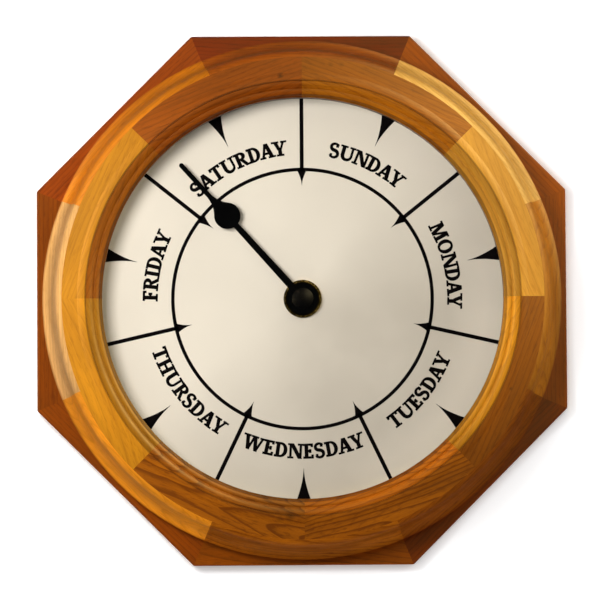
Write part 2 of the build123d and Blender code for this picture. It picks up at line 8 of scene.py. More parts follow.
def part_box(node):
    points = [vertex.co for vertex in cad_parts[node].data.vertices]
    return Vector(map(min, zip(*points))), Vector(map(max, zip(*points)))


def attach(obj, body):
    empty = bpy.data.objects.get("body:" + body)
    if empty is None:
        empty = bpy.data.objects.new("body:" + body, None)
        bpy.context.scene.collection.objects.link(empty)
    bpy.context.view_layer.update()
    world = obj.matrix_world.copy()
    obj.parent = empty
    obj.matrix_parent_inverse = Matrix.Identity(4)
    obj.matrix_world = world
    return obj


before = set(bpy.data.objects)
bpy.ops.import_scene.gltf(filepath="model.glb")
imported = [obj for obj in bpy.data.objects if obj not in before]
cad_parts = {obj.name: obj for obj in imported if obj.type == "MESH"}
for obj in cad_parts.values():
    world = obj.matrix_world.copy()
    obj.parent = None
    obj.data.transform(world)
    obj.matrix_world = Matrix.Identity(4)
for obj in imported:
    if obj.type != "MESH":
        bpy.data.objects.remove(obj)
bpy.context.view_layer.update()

# The clock hangs on a wall at y = 0 and faces -Y. Its hand turns about a line along Y
# through the dial's centre. Lengths are in metres, and clock angles run clockwise from the top.
MM = 0.001
dial_low, dial_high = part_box("dial")
AXIS = Vector(((dial_low.x + dial_high.x) / 2, 0.0, (dial_low.z + dial_high.z) / 2))
DIAL_FRONT = dial_low.y
STAVES = 8
STAVE_ANGLE = 360 / STAVES
DAYS = ("SUNDAY", "MONDAY", "TUESDAY", "WEDNESDAY", "THURSDAY", "FRIDAY", "SATURDAY")
DAY_ANGLE = 360 / len(DAYS)


# Node helpers


def new_group(name, inputs, outputs):
    """A shader node group. Inputs are (name, kind, default) and outputs are (name, kind)."""
    tree = bpy.data.node_groups.new(name, "ShaderNodeTree")
    for label, kind, default in inputs:
        socket = tree.interface.new_socket(label, in_out="INPUT", socket_type=f"NodeSocket{kind}")
        if default is not None:
            socket.default_value = default
    for label, kind in outputs:
        tree.interface.new_socket(label, in_out="OUTPUT", socket_type=f"NodeSocket{kind}")
    return tree


class Nodes:
    """Short calls that add nodes to a tree and join them."""

    def __init__(self, tree):
        self.tree = tree

    def add(self, kind, inputs=None, **settings):
        node = self.tree.nodes.new(kind)
        for key, value in settings.items():
            setattr(node, key, value)
        for key, value in (inputs or {}).items():
            self.put(node.inputs[key], value)
        return node

    def put(self, socket, value):
        if isinstance(value, bpy.types.NodeSocket):
            self.tree.links.new(value, socket)
        else:
            socket.default_value = value

    def math(self, operation, a, b=0.0, clamp=False):
        return self.add("ShaderNodeMath", {0: a, 1: b}, operation=operation, use_clamp=clamp).outputs[0]

    def mix(self, share, a, b):
        node = self.add("ShaderNodeMix", data_type="RGBA")
        self.put(node.inputs["Factor"], share)
        self.put(node.inputs["A"], a)
        self.put(node.inputs["B"], b)
        return node.outputs["Result"]

    def ramp(self, value, low, high, to_low=0.0, to_high=1.0):
        node = self.add("ShaderNodeMapRange", {"Value": value, "From Min": low, "From Max": high})
        node.inputs["To Min"].default_value = to_low
        node.inputs["To Max"].default_value = to_high
        return node.outputs["Result"]

    def noise(self, vector, scale, detail, roughness):
        settings = {"Vector": vector, "Scale": scale, "Detail": detail, "Roughness": roughness}
        return self.add("ShaderNodeTexNoise", settings).outputs["Fac"]

    def stretch(self, vector, factors):
        return self.add("ShaderNodeVectorMath", {0: vector, 1: factors}, operation="MULTIPLY").outputs[0]

    def coordinate(self, vector, axis):
        return self.add("ShaderNodeSeparateXYZ", {0: vector}).outputs[axis]


# Shared effects as node groups


# How fine each figure of the wood is, in steps per metre along the grain and across it
SWAY = (9, 40, 40)
FLECKS = (170, 1500, 1500)
FIBRES = (30, 900, 900)
STREAKS = (12, 170, 170)
CLOUDS = (16, 50, 50)
# How far a growth ring sways in all
SWAY_REACH = 7 * MM
# Where in a growth ring the dark late wood starts and is full, and where it ends
LATE_WOOD = (0.35, 0.90)
RING_END = (1.0, 0.94)
# How dark streaks and fibres get, and how far a board's tone and roughness vary
STREAK_SHARE = 0.45
FIBRE_SHARE = 0.25
TONE_RANGE = (0.84, 1.16)
ROUGH_RANGE = (0.42, 0.52)


def timber_group():
    """Wood cut from a log whose pith runs along X. Growth rings show wherever a turned surface cuts them."""
    tree = new_group(
        "timber",
        [
            ("Vector", "Vector", None),
            ("Ring Width", "Float", 0.003),
            ("Figure", "Float", 0.5),
            ("Fleck", "Float", 0.5),
        ],
        [("Dark Share", "Float"), ("Tone", "Float"), ("Roughness", "Float"), ("Height", "Float")],
    )
    n = Nodes(tree)
    given = n.add("NodeGroupInput").outputs
    where = given["Vector"]
    parts = n.add("ShaderNodeSeparateXYZ", {0: where}).outputs
    sway = n.noise(n.stretch(where, SWAY), 1.0, 3.0, 0.5)
    sway = n.math("MULTIPLY", n.math("SUBTRACT", sway, 0.5), SWAY_REACH)
    across = n.math("ADD", n.math("POWER", parts[1], 2.0), n.math("POWER", parts[2], 2.0))
    from_pith = n.math("ADD", n.math("SQRT", across), sway)
    within = n.math("FRACT", n.math("DIVIDE", from_pith, given["Ring Width"]))
    rising = n.ramp(within, *LATE_WOOD)
    falling = n.ramp(within, *RING_END)
    late = n.math("MULTIPLY", n.math("POWER", rising, 3.0), falling)
    flecks = n.ramp(n.noise(n.stretch(where, FLECKS), 1.0, 2.0, 0.6), 0.52, 0.68)
    fibre = n.noise(n.stretch(where, FIBRES), 1.0, 3.0, 0.6)
    streak = n.noise(n.stretch(where, STREAKS), 1.0, 2.0, 0.6)
    broad = n.noise(n.stretch(where, CLOUDS), 1.0, 2.0, 0.5)
    ring_share = n.math("MULTIPLY", late, given["Figure"])
    fleck_share = n.math("MULTIPLY", flecks, given["Fleck"])
    streak_share = n.ramp(streak, 0.38, 0.72, 0.0, STREAK_SHARE)
    fibre_share = n.ramp(fibre, 0.35, 0.65, 0.0, FIBRE_SHARE)
    dark = n.math("ADD", n.math("ADD", ring_share, fleck_share), n.math("ADD", streak_share, fibre_share))
    dark = n.math("MINIMUM", dark, 1.0)
    tone = n.ramp(broad, 0.3, 0.7, *TONE_RANGE)
    rough = n.ramp(fibre, 0.3, 0.7, *ROUGH_RANGE)
    height = n.math("SUBTRACT", n.math("MULTIPLY", fibre, 0.5), n.math("MULTIPLY", flecks, 0.6))
    out = n.add("NodeGroupOutput")
    n.put(out.inputs["Dark Share"], dark)
    n.put(out.inputs["Tone"], tone)
    n.put(out.inputs["Roughness"], rough)
    n.put(out.inputs["Height"], height)
    return tree


# How much coarser a finish's wear is than its grain, and how far its gloss varies
WEAR_SIZE = 12.0
GLOSS_RANGE = (0.85, 1.15)


def finish_group():
    """A finish whose tone and gloss vary a little over a piece, with a fine grain."""
    tree = new_group(
        "finish",
        [
            ("Vector", "Vector", None),
            ("Color", "Color", (0.5, 0.5, 0.5, 1)),
            ("Roughness", "Float", 0.4),
            ("Grain", "Float", 900.0),
            ("Wear", "Float", 0.1),
        ],
        [("Color", "Color"), ("Roughness", "Float"), ("Height", "Float")],
    )
    n = Nodes(tree)
    given = n.add("NodeGroupInput").outputs
    broad = n.noise(given["Vector"], n.math("DIVIDE", given["Grain"], WEAR_SIZE), 3.0, 0.55)
    fine = n.noise(given["Vector"], given["Grain"], 2.0, 0.6)
    swing = n.math("MULTIPLY", n.ramp(broad, 0.3, 0.7, -1.0, 1.0), given["Wear"])
    tint = n.add("ShaderNodeHueSaturation", {"Color": given["Color"], "Value": n.math("ADD", swing, 1.0)})
    rough = n.math("MULTIPLY", n.ramp(fine, 0.3, 0.7, *GLOSS_RANGE), given["Roughness"])
    out = n.add("NodeGroupOutput")
    n.put(out.inputs["Color"], tint.outputs["Color"])
    n.put(out.inputs["Roughness"], rough)
    n.put(out.inputs["Height"], fine)
    return tree


# How soft the edges of a band are
SOFT_EDGE = 0.2 * MM


def band_group():
    """1 inside a band between two values and 0 outside it, with soft edges."""
    tree = new_group(
        "band",
        [("Value", "Float", 0.0), ("From", "Float", 0.0), ("To", "Float", 1.0), ("Edge", "Float", SOFT_EDGE)],
        [("Mask", "Float")],
    )
    n = Nodes(tree)
    given = n.add("NodeGroupInput").outputs
    rise = n.math("DIVIDE", n.math("SUBTRACT", given["Value"], given["From"]), given["Edge"], clamp=True)
    fall = n.math("DIVIDE", n.math("SUBTRACT", given["To"], given["Value"]), given["Edge"], clamp=True)
    out = n.add("NodeGroupOutput")
    n.put(out.inputs["Mask"], n.math("MULTIPLY", rise, fall))
    return tree


TIMBER = timber_group()
FINISH = finish_group()
BAND = band_group()


# Materials


def new_material(name):
    """A material, the calls that add its nodes, its shader and the place of a point on the piece."""
    material = bpy.data.materials.new(name)
    material.use_nodes = True
    nodes = Nodes(material.node_tree)
    shader = material.node_tree.nodes["Principled BSDF"]
    place = nodes.add("ShaderNodeTexCoord").outputs["Object"]
    return material, nodes, shader, place


def finish(n, shader, place, color, roughness, grain=900.0, wear=0.12, bump=0.02 * MM, relief=None):
    """Puts the shared finish on a shader. A relief, where there is one, is raised with the grain."""
    coat = n.add("ShaderNodeGroup", node_tree=FINISH)
    n.put(coat.inputs["Vector"], place)
    n.put(coat.inputs["Color"], color)
    for label, value in (("Roughness", roughness), ("Grain", grain), ("Wear", wear)):
        coat.inputs[label].default_value = value
    n.put(shader.inputs["Base Color"], coat.outputs["Color"])
    n.put(shader.inputs["Roughness"], coat.outputs["Roughness"])
    height = coat.outputs["Height"]
    if relief is not None:
        height = n.math("ADD", n.math("MULTIPLY", height, 0.2), relief)
    lift = n.add("ShaderNodeBump", {"Height": height, "Distance": bump, "Strength": 0.6})
    n.put(shader.inputs["Normal"], lift.outputs["Normal"])


def surface(name, color, roughness, metallic=0.0, grain=900.0, wear=0.12, bump=0.02 * MM, **sockets):
    """A finish of one colour. A shader socket is given by its name, with _ for each space."""
    material, n, shader, place = new_material(name)
    finish(n, shader, place, (*color, 1), roughness, grain, wear, bump)
    shader.inputs["Metallic"].default_value = metallic
    for socket, value in sockets.items():
        shader.inputs[socket.replace("_", " ")].default_value = value
    return material


def band(n, value, low, high, edge=SOFT_EDGE):
    """1 where a value lies between low and high."""
    node = n.add("ShaderNodeGroup", {"Value": value, "From": low, "To": high, "Edge": edge}, node_tree=BAND)
    return node.outputs["Mask"]


def from_axis(n, place, centre=AXIS):
    """Distance of a point from a line along Y."""
    about = n.add("ShaderNodeVectorMath", {0: place, 1: centre}, operation="SUBTRACT").outputs[0]
    flat = n.stretch(about, (1, 0, 1))
    return n.add("ShaderNodeVectorMath", {0: flat}, operation="LENGTH").outputs["Value"]


def clear_where(material, n, shader, share):
    """Lets light and sight straight through a material where share is 1."""
    clear = n.add("ShaderNodeBsdfTransparent")
    both = n.add("ShaderNodeMixShader", {0: share, 1: shader.outputs[0], 2: clear.outputs[0]})
    n.put(material.node_tree.nodes["Material Output"].inputs["Surface"], both.outputs[0])


def longest_side(low, high):
    """Which axis a box is longest along, and where it starts and ends there."""
    along = max(range(3), key=lambda k: high[k] - low[k])
    return along, low[along], high[along]


# Light and dark wood of each tone
TONES = {
    "straw": ((0.84, 0.44, 0.085), (0.62, 0.27, 0.030)),
    "gold": ((0.88, 0.38, 0.035), (0.66, 0.24, 0.015)),
    "honey": ((0.76, 0.29, 0.009), (0.53, 0.18, 0.005)),
    "amber": ((0.80, 0.27, 0.012), (0.56, 0.17, 0.005)),
    "orange": ((0.64, 0.18, 0.002), (0.43, 0.11, 0.001)),
    "tan": ((0.72, 0.38, 0.130), (0.50, 0.24, 0.070)),
    "cedar": ((0.54, 0.18, 0.008), (0.33, 0.09, 0.003)),
    "chestnut": ((0.52, 0.15, 0.003), (0.32, 0.080, 0.001)),
    "copper": ((0.41, 0.099, 0.001), (0.23, 0.049, 0.0005)),
    "umber": ((0.40, 0.105, 0.002), (0.17, 0.036, 0.0005)),
    "cocoa": ((0.355, 0.068, 0.0007), (0.193, 0.034, 0.0003)),
    "walnut": ((0.31, 0.072, 0.001), (0.15, 0.030, 0.0004)),
    "stain": ((0.31, 0.065, 0.001), (0.17, 0.035, 0.0004)),
    "red_stain": ((0.31, 0.058, 0.001), (0.17, 0.030, 0.001)),
    "brick": ((0.31, 0.045, 0.001), (0.17, 0.023, 0.001)),
    "deep_red": ((0.31, 0.026, 0.0005), (0.17, 0.014, 0.0003)),
}

# How a board was cut from its log: the pith's depth under the ring's crest and its distance outward
# from the ring's middle line, in mm, and its tilt to the board in degrees
RIFT = (46, 52, 1.5)
RIFT_IN = (50, -48, -1.2)
CATHEDRAL = (13, 3, 5.0)
LOOPED = (11, -6, -4.0)

# Each front stave clockwise from the top: tone of the band and its strength, tone of the beads and
# its strength, figure strength, how much lighter the clockwise end is, and cut. The beads' tone and
# strength also carry painted shade and light: darker than the band on the left staves, whose bead
# slopes face away from the light, and lighter on the lower right, where they face it
FRONT_BOARDS = [
    ("copper", 0.95, "chestnut", 0.80, 0.45, 0.26, RIFT),
    ("gold", 0.94, "gold", 0.63, 0.35, -0.06, RIFT_IN),
    ("copper", 0.80, "honey", 0.95, 0.50, -0.30, RIFT),
    ("umber", 0.96, "copper", 1.25, 0.90, -0.12, CATHEDRAL),
    ("umber", 0.98, "umber", 0.85, 0.90, 0.10, LOOPED),
    ("honey", 0.93, "honey", 0.51, 0.35, 0.02, RIFT_IN),
    ("honey", 0.76, "copper", 0.75, 0.35, -0.06, RIFT),
    ("cocoa", 0.86, "cocoa", 0.70, 0.45, -0.14, RIFT),
]
# The same for the back staves, whose flat ledge has the second tone
BACK_BOARDS = [
    ("cocoa", 0.92, "deep_red", 0.58, 0.45, 0.0, RIFT),
    ("straw", 0.94, "red_stain", 1.26, 0.50, 0.05, RIFT),
    ("cedar", 1.00, "red_stain", 1.06, 0.45, -0.15, RIFT_IN),
    ("walnut", 0.94, "brick", 0.70, 0.55, 0.0, RIFT),
    ("umber", 1.04, "stain", 1.03, 0.60, 0.0, CATHEDRAL),
    ("amber", 1.08, "red_stain", 0.98, 0.40, 0.05, RIFT_IN),
    ("tan", 1.03, "red_stain", 0.80, 0.50, 0.0, RIFT),
    ("orange", 1.00, "brick", 1.08, 0.40, -0.1, RIFT),
]
# Painted shade along the lip's edge, in two thin lines over the beads and in the quirk: inner and outer
# radius and how much darker
GROOVE_SHADE = [
    (99.0 * MM, 101.7 * MM, 0.50),
    (103.3 * MM, 104.0 * MM, 0.25),
    (105.4 * MM, 106.0 * MM, 0.25),
    (107.6 * MM, 108.8 * MM, 0.40),
]
# Knots by front stave: millimetres right of the dial's centre and above it, radius and how dark
KNOTS = {
    1: [(14.3, 116.0, 1.8, 0.30), (19.8, 116.0, 1.8, 0.30)],
    3: [(102.7, -46.1, 1.2, 0.50)],
    5: [(-7.3, -108.4, 3.2, 0.55), (-12.5, -110.0, 2.4, 0.35)],
    8: [(-10.8, 110.4, 1.9, 0.75)],
}
# Radius where the second tone starts, and where it is full
BEAD_ZONE = (108.6 * MM, 107.6 * MM)
LEDGE_ZONE = (129.5 * MM, 131.0 * MM)
# The same along Y, which keeps the second tone off the back face
CLEAR_OF_BACK = (-0.5 * MM, -1.5 * MM)

RING_WIDTH = 2.1 * MM
FLECK_STRENGTH = 0.45
GROOVE_EDGE = 0.4 * MM
# The ring's crest: its radius, and how far it stands off the wall
RING_MIDDLE = 116 * MM
CREST = 38 * MM
# How far apart the boards were cut along their logs, and half a board's length, in metres
BOARD_SHIFT = 0.37
HALF_BOARD = 48 * MM
# How wood mirrors light through its amber varnish
VARNISH_TINT = (1.0, 0.78, 0.45, 1)


def board_material(name, board, zone, clock_angle, number, groove_shade=(), knots=()):
    """Wood of one stave, with its grain along the stave and a second tone in its zone."""
    tone, strength, zone_tone, zone_strength, figure, drift, (pith_depth, outward, tilt) = board
    material, n, shader, place = new_material(name)

    turn = Euler((0, -radians(clock_angle), radians(tilt)))
    level = Euler((0, -radians(clock_angle), 0)).to_matrix().inverted()
    pith = AXIS + level @ Vector((0, pith_depth * MM - CREST, RING_MIDDLE + outward * MM))
    middle = number * BOARD_SHIFT
    mapping = n.add("ShaderNodeMapping", {"Vector": place})
    mapping.inputs["Rotation"].default_value = turn
    mapping.inputs["Location"].default_value = Vector((middle, 0, 0)) - turn.to_matrix() @ pith
    in_log = mapping.outputs["Vector"]

    wood = n.add("ShaderNodeGroup", node_tree=TIMBER)
    n.put(wood.inputs["Vector"], in_log)
    for label, value in (("Ring Width", RING_WIDTH), ("Figure", figure), ("Fleck", FLECK_STRENGTH)):
        wood.inputs[label].default_value = value

    reach = from_axis(n, place)
    off_back = n.ramp(n.coordinate(place, 1), *CLEAR_OF_BACK)
    in_zone = n.math("MULTIPLY", n.ramp(reach, *zone), off_back)
    light, dark = [n.mix(in_zone, (*a, 1), (*b, 1)) for a, b in zip(TONES[tone], TONES[zone_tone])]
    color = n.mix(wood.outputs["Dark Share"], light, dark)

    along = n.coordinate(in_log, 0)
    fade = n.ramp(along, middle - HALF_BOARD, middle + HALF_BOARD, 1 - drift, 1 + drift)
    value = n.math("MULTIPLY", wood.outputs["Tone"], fade)
    # In the beads this strength also carries painted shade and light
    value = n.math("MULTIPLY", value, n.ramp(in_zone, 0.0, 1.0, strength, zone_strength))
    # Painted shade in the grooves and along the lip's edge
    for inner, outer, darker in groove_shade:
        shade = n.ramp(band(n, reach, inner, outer, GROOVE_EDGE), 0.0, 1.0, 1.0, 1.0 - darker)
        value = n.math("MULTIPLY", value, shade)
    for right, up, radius, darker in knots:
        away = from_axis(n, place, AXIS + Vector((right, 0, up)) * MM)
        value = n.math("MULTIPLY", value, n.ramp(away, 0.0, radius * MM, 1.0 - darker, 1.0))
    tone_and_shade = n.add("ShaderNodeHueSaturation", {"Color": color, "Value": value})

    n.put(shader.inputs["Base Color"], tone_and_shade.outputs["Color"])
    n.put(shader.inputs["Roughness"], wood.outputs["Roughness"])
    lift = n.add("ShaderNodeBump", {"Height": wood.outputs["Height"], "Distance": 0.04 * MM, "Strength": 0.5})
    n.put(shader.inputs["Normal"], lift.outputs["Normal"])
    shader.inputs["Specular IOR Level"].default_value = 0.2
    shader.inputs["Specular Tint"].default_value = VARNISH_TINT
    return material


def dress(node, material):
    """Gives a CAD node its finish."""
    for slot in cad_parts[node].material_slots:
        slot.material = material


def dress_staves():
    """Gives each stave the wood of its own board."""
    for number in range(STAVES):
        front, back = f"front_stave_{number + 1}", f"back_stave_{number + 1}"
        front_angle, back_angle = (number + 0.5) * STAVE_ANGLE, number * STAVE_ANGLE
        board, knots = FRONT_BOARDS[number], KNOTS.get(number + 1, ())
        turned = board_material(f"wood_{front}", board, BEAD_ZONE, front_angle, number, GROOVE_SHADE, knots)
        board = BACK_BOARDS[number]
        flat = board_material(f"wood_{back}", board, LEDGE_ZONE, back_angle, number + STAVES)
        dress(front, turned)
        dress(back, flat)


dress_staves()


# Painted shade on the dial: a darker cream toward one clock angle, held back near the rim toward another,
# where the frame's own shade already falls
PAINTED_SHADE_SIDE = 135
SHADE_FREE_SIDE = 118
SHADE_FREE_RIM = (72 * MM, 92 * MM)
SHADE_FREE_SHARE = 0.9
SOFT_CENTRE = 8 * MM
CREAM = (0.83, 0.745, 0.615, 1)
# A darker copy of the cream, for the painted shade
SHADED_CREAM = (0.625, 0.555, 0.455, 1)


def facing(n, about, reach, clock_angle):
    """1 toward a clock angle from the dial's axis and -1 away from it, blurred at the centre."""
    a = radians(clock_angle)
    toward = (sin(a), 0, cos(a))
    along = n.add("ShaderNodeVectorMath", {0: about, 1: toward}, operation="DOT_PRODUCT").outputs["Value"]
    return n.math("DIVIDE", along, n.math("ADD", reach, SOFT_CENTRE))


def dial_material():
    """Cream board with painted shade over its lower right."""
    material, n, shader, place = new_material("dial_board")
    reach = from_axis(n, place)
    about = n.add("ShaderNodeVectorMath", {0: place, 1: AXIS}, operation="SUBTRACT").outputs[0]
    # Painted shade over the lower right, mottled by a cloud and held back at the lower right rim
    tone_and_shade = n.ramp(facing(n, about, reach, PAINTED_SHADE_SIDE), -0.15, 0.72)
    shade_free = n.ramp(facing(n, about, reach, SHADE_FREE_SIDE), 0.62, 0.85)
    rim = n.math("MULTIPLY", n.ramp(reach, *SHADE_FREE_RIM), shade_free)
    tone_and_shade = n.math("MULTIPLY", tone_and_shade, n.math("SUBTRACT", 1.0, n.math("MULTIPLY", rim, SHADE_FREE_SHARE)))
    cloud = n.ramp(n.noise(place, 26.0, 3.0, 0.6), 0.3, 0.7, 0.8, 1.2)
    color = n.mix(n.math("MULTIPLY", tone_and_shade, cloud), CREAM, SHADED_CREAM)
    finish(n, shader, place, color, 0.6, grain=260.0, wear=0.03)
    shader.inputs["Specular IOR Level"].default_value = 0.2
    return material


# The washer's radius, the width of the painted highlight at its rim, and how far the rim's band runs past the
# edge
WASHER_RADIUS = (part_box("dial_washer")[1].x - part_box("dial_washer")[0].x) / 2
RIM_HIGHLIGHT_WIDTH = 1.2 * MM
PAST_EDGE = 1.0 * MM


def washer_material():
    """Brass painted nearly black as painted shade and dark reflection, with a painted highlight along its
    rim.
    """
    material, n, shader, place = new_material("brass_painted_shade_and_highlight")
    reach = from_axis(n, place)
    rim = band(n, reach, WASHER_RADIUS - RIM_HIGHLIGHT_WIDTH, WASHER_RADIUS + PAST_EDGE, 0.25 * MM)
    patchy = n.ramp(n.noise(place, 900.0, 2.0, 0.5), 0.45, 0.65)
    tone = n.mix(patchy, (0.05, 0.037, 0.012, 1), (0.26, 0.20, 0.085, 1))
    # Outside the rim's band the brass is painted nearly black for shade and dark reflection; the band is a
    # painted highlight
    color = n.mix(rim, (0.010, 0.008, 0.004, 1), tone)
    finish(n, shader, place, color, 0.36, grain=2400.0, wear=0.35)
    shader.inputs["Metallic"].default_value = 1.0
    return material


# From one turn of the winding to the next
WIRE_PITCH = 0.16 * MM


def winding_material():
    """Enamelled wire in turns side by side, with a painted highlight on each turn's crown and painted shade
    between turns.
    """
    material, n, shader, place = new_material("copper_winding")
    along, _, _ = longest_side(*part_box("coil_winding"))
    turns = n.math("SINE", n.math("MULTIPLY", n.coordinate(place, along), 2 * pi / WIRE_PITCH))
    # Painted light and shade: each turn lighter on its crown and darker in the groove between turns
    color = n.mix(n.ramp(turns, -1.0, 1.0), (0.30, 0.075, 0.02, 1), (0.72, 0.27, 0.11, 1))
    finish(n, shader, place, color, 0.3, grain=3000.0, wear=0.15, bump=0.03 * MM, relief=turns)
    shader.inputs["Metallic"].default_value = 0.9
    return material


# Bare metal at each end of the battery, and how far its copper band reaches from one end
BARE_BASE = 1.0 * MM
BARE_TOP = 2.2 * MM
COPPER_REACH = 13.0 * MM


def battery_material():
    """A plain dark sleeve with one copper band, and bare metal ends."""
    material, n, shader, place = new_material("battery_sleeve")
    along, start, end = longest_side(*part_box("battery"))
    value = n.coordinate(place, along)
    sleeve = band(n, value, start + BARE_BASE, end - BARE_TOP)
    collar = band(n, value, end - COPPER_REACH, end - BARE_TOP)
    color = n.mix(collar, (0.020, 0.021, 0.024, 1), (0.50, 0.22, 0.075, 1))
    color = n.mix(sleeve, (0.62, 0.61, 0.58, 1), color)
    finish(n, shader, place, color, 0.3, grain=700.0, wear=0.06)
    bare = n.math("SUBTRACT", 1.0, sleeve)
    n.put(shader.inputs["Metallic"], n.math("MAXIMUM", bare, n.math("MULTIPLY", collar, 0.6)))
    return material


def board_green_material():
    """Green solder mask over copper tracks."""
    material, n, shader, place = new_material("solder_mask")
    tracks = n.add("ShaderNodeTexBrick", {"Vector": place, "Scale": 260.0})
    tracks.inputs["Mortar Size"].default_value = 0.12
    tracks.inputs["Mortar Smooth"].default_value = 0.2
    track = tracks.outputs["Fac"]
    color = n.mix(track, (0.012, 0.075, 0.025, 1), (0.035, 0.20, 0.060, 1))
    finish(n, shader, place, color, 0.28, grain=1500.0, wear=0.1, bump=0.03 * MM, relief=track)
    return material


INK = surface("dial_ink", (0.004, 0.003, 0.003), 0.8, wear=0.1, Specular_IOR_Level=0.0)
paper = dial_material()
lacquer = surface("hand_lacquer", (0.002, 0.002, 0.002), 0.7, Specular_IOR_Level=0.0)
cap_lacquer = surface("cap_lacquer", (0.0015, 0.0015, 0.002), 0.5, Specular_IOR_Level=0.03)
brass = surface("turned_brass", (0.60, 0.42, 0.15), 0.3, metallic=1.0, grain=1800.0)
case_plastic = surface("case_plastic", (0.016, 0.016, 0.017), 0.42, grain=2600.0, bump=0.04 * MM)
knob_plastic = surface("knob_plastic", (0.030, 0.030, 0.031), 0.38, grain=1800.0)
gear_plastic = surface("gear_plastic", (0.74, 0.72, 0.66), 0.35, grain=1600.0, wear=0.05)
pinion_plastic = surface("pinion_plastic", (0.55, 0.10, 0.05), 0.35, grain=1600.0, wear=0.06)
bobbin_plastic = surface("bobbin_plastic", (0.60, 0.56, 0.46), 0.4, grain=1600.0, wear=0.06)
steel = surface("plated_steel", (0.58, 0.58, 0.56), 0.28, metallic=1.0, grain=1200.0, wear=0.1)
nickel = surface("nickel_strip", (0.66, 0.63, 0.57), 0.22, metallic=1.0, grain=1500.0, wear=0.06)
soft_iron = surface("soft_iron", (0.40, 0.40, 0.41), 0.36, metallic=1.0, grain=1300.0, wear=0.12)
rubber = surface("rubber", (0.022, 0.021, 0.020), 0.8, grain=2200.0, wear=0.2, bump=0.04 * MM)
ferrite = surface("ferrite", (0.035, 0.033, 0.034), 0.5, grain=2500.0, wear=0.2)
chip_resin = surface("chip_resin", (0.012, 0.012, 0.013), 0.55, grain=2500.0, wear=0.15)

FINISHES = {
    paper: ["dial"],
    lacquer: ["hand"],
    cap_lacquer: ["hand_cap"],
    washer_material(): ["dial_washer"],
    brass: ["dial_nut", "threaded_bushing"],
    case_plastic: ["front_case", "rear_case", "lens_ring"],
    knob_plastic: ["setting_knob"],
    gear_plastic: ["seconds_wheel", "third_wheel", "six_hour_wheel", "day_wheel", "setting_arbor"],
    pinion_plastic: ["intermediate_wheel", "minute_wheel", "clutch_wheel", "rotor"],
    bobbin_plastic: ["coil_bobbin"],
    steel: ["dial_clips", "clip_screws", "clutch_spring"],
    nickel: ["positive_contact", "negative_contact", "quartz_crystal"],
    soft_iron: ["coil_core", "stator"],
    rubber: ["rubber_washer"],
    ferrite: ["rotor_magnet"],
    chip_resin: ["clock_chip"],
    winding_material(): ["coil_winding"],
    battery_material(): ["battery"],
    board_green_material(): ["circuit_board"],
}
for material, nodes in FINISHES.items():
    for node in nodes:
        dress(node, material)


def lens_material():
    """Clear glass that lets light through to the dial as if it weren't there."""
    material, n, shader, place = new_material("clear_glass")
    shader.inputs["Base Color"].default_value = (0.98, 0.99, 0.985, 1)
    shader.inputs["Roughness"].default_value = 0.0
    shader.inputs["IOR"].default_value = 1.12
    shader.inputs["Transmission Weight"].default_value = 1.0
    ray = n.add("ShaderNodeLightPath").outputs
    plain = n.math("MAXIMUM", ray["Is Shadow Ray"], ray["Is Diffuse Ray"])
    clear_where(material, n, shader, n.math("MAXIMUM", plain, ray["Is Glossy Ray"]))
    return material


dress("lens", lens_material())


# Printing on the dial: thin raised ink, joined into one clean outline each


PRINT_THICKNESS = 0.04 * MM
MERGE_DISTANCE = 1e-7


def polar(radius, clock_angle):
    """A point of the dial, right of its centre and above it."""
    a = radians(clock_angle)
    return Vector((radius * sin(a), radius * cos(a)))


def flat_print(name, outlines):
    """Joins overlapping flat outlines, given anticlockwise about the dial's axis, into one raised sheet."""
    points, faces = [], []
    for outline in outlines:
        faces.append(list(range(len(points), len(points) + len(outline))))
        points.extend(outline)
    made = geometry.delaunay_2d_cdt(points, [], faces, 1, MERGE_DISTANCE)
    flat_points, all_triangles, sources = made[0], made[2], made[5]
    inside = [t for t, source in zip(all_triangles, sources) if source]
    mesh = bmesh.new()
    low = [mesh.verts.new((p.x, DIAL_FRONT, p.y)) for p in flat_points]
    high = [mesh.verts.new((p.x, DIAL_FRONT - PRINT_THICKNESS, p.y)) for p in flat_points]
    edges = []
    for triangle in inside:
        mesh.faces.new([high[i] for i in triangle])
        mesh.faces.new([low[i] for i in reversed(triangle)])
        edges += zip(triangle, [*triangle[1:], triangle[0]])
    # A wall stands on each edge that has a triangle on one side only
    known = set(edges)
    for a, b in edges:
        if (b, a) not in known:
            mesh.faces.new((high[b], high[a], low[a], low[b]))
    loose = [v for v in mesh.verts if not v.link_faces]
    bmesh.ops.delete(mesh, geom=loose, context="VERTS")
    bmesh.ops.recalc_face_normals(mesh, faces=mesh.faces)
    data = bpy.data.meshes.new(name)
    mesh.to_mesh(data)
    mesh.free()
    data.materials.append(INK)
    piece = bpy.data.objects.new(name, data)
    bpy.context.collection.objects.link(piece)
    return piece


